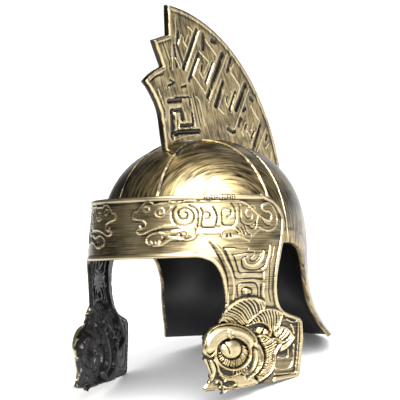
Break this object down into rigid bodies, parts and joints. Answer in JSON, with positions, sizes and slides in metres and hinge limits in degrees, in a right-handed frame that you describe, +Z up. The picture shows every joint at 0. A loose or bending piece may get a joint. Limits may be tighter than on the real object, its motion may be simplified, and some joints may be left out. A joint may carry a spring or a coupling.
{
  "type": "gladiator helmet",
  "caption": "Gladiator costume helmet in antique gold plastic: bowl with neck guard, brow band with cheek guards in relief, and a tall crest fin.",
  "frame": {"origin": "middle of the footprint on the floor that the helmet rests on", "axes": "+Z is up from the floor, +X to the wearer's left and +Y to the wearer's back; the helmet leans back 14.4 degrees as it rests by itself"},
  "size_m": [0.225, 0.2976, 0.3758],
  "materials": {
    "bowl_gold": "satin antique gold brushed over black, black inside",
    "guard_gold": "satin antique gold on the raised parts, black in the recesses and inside",
    "crest_gold": "satin antique gold on the raised parts, black in the grooves"
  },
  "bodies": {
    "root": {"skull_dome": "bowl_gold", "face_guard": "guard_gold", "crest_fin": "crest_gold"}
  },
  "joints": []
}
